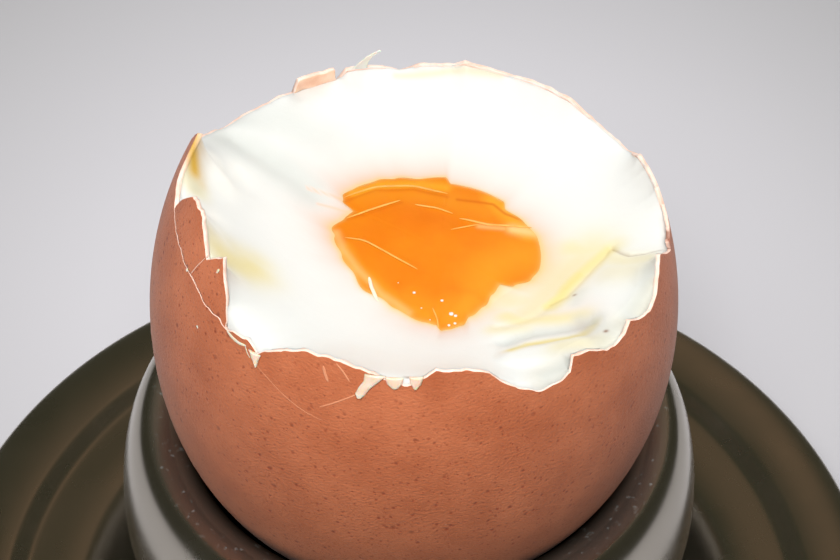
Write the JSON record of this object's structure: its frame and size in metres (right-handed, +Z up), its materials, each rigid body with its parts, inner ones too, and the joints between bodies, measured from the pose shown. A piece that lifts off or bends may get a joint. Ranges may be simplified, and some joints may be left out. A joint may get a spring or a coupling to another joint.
{
  "type": "boiled egg in egg cup",
  "caption": "Soft-boiled brown egg with its top broken off and the runny yolk showing, standing in a ball-shaped polished steel egg cup fixed to a round steel saucer.",
  "frame": {"origin": "on the table, under the middle of the saucer's flat floor", "axes": "+Z up along the egg and the cup; -Y towards the person eating, the side where the shell is broken lowest; +X to that person's right"},
  "size_m": [0.088, 0.088, 0.0607],
  "materials": {
    "steel": "polished stainless steel, slightly satin, that mirrors its surroundings",
    "shell": "matt to satin brown eggshell with fine dark pores; the broken edge is pale pinkish white",
    "white": "set egg white, translucent, moist satin; stands in for food",
    "yolk": "soft yolk, deep orange yellow, wet and glossy; stands in for food",
    "skin": "wet shell skin, thin and translucent; stands in for the membrane under an eggshell"
  },
  "bodies": {
    "root": {"saucer": "steel", "egg_cup": "steel", "shell": "shell", "shell_chip_1": "shell", "shell_chip_2": "shell", "shell_fragment_far": "shell", "shell_sliver_right": "shell", "egg_white": "white", "yolk": "yolk", "skin_shred_1": "skin", "skin_shred_2": "skin", "skin_shred_3": "skin", "skin_shred_4": "skin", "skin_wisp": "skin"}
  },
  "joints": []
}
